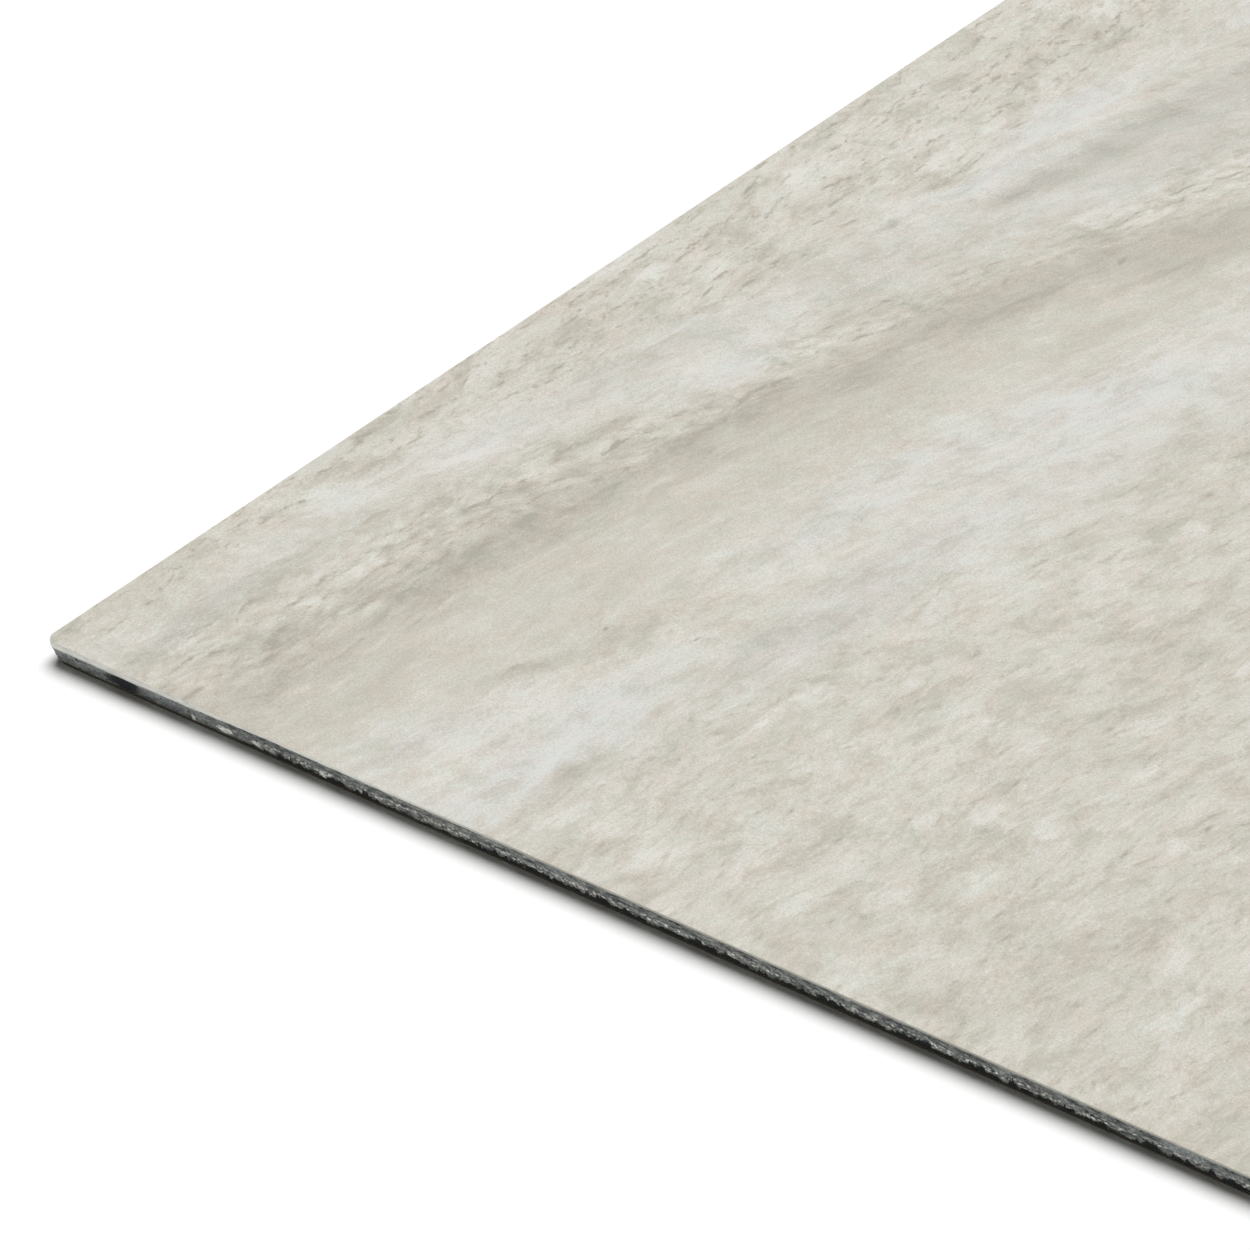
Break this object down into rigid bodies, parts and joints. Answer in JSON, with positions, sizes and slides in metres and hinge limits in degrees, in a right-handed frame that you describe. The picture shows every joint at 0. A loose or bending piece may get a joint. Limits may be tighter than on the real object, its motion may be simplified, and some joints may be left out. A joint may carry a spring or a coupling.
{
  "type": "peel and stick wall tile",
  "caption": "Rectangular self-adhesive vinyl wall tile with a matt stone-look printed face, a dark undercut core edge and a peel-off paper liner on its back.",
  "frame": {"origin": "centre of the liner's underside, the face that the tile lies on", "axes": "+X across the tile's width, +Y along its length, +Z out of the printed face"},
  "size_m": [0.305, 0.61, 0.002],
  "materials": {
    "printed_face_film": "matt embossed wear coat over a cream stone print",
    "filled_vinyl": "die-cut, mottled charcoal with pale grains",
    "adhesive": "clear amber pressure-sensitive adhesive",
    "release_paper": "siliconed, unprinted"
  },
  "bodies": {
    "root": {"face_film": "printed_face_film", "vinyl_core": "filled_vinyl", "adhesive_coat": "adhesive", "release_liner": "release_paper"}
  },
  "joints": []
}
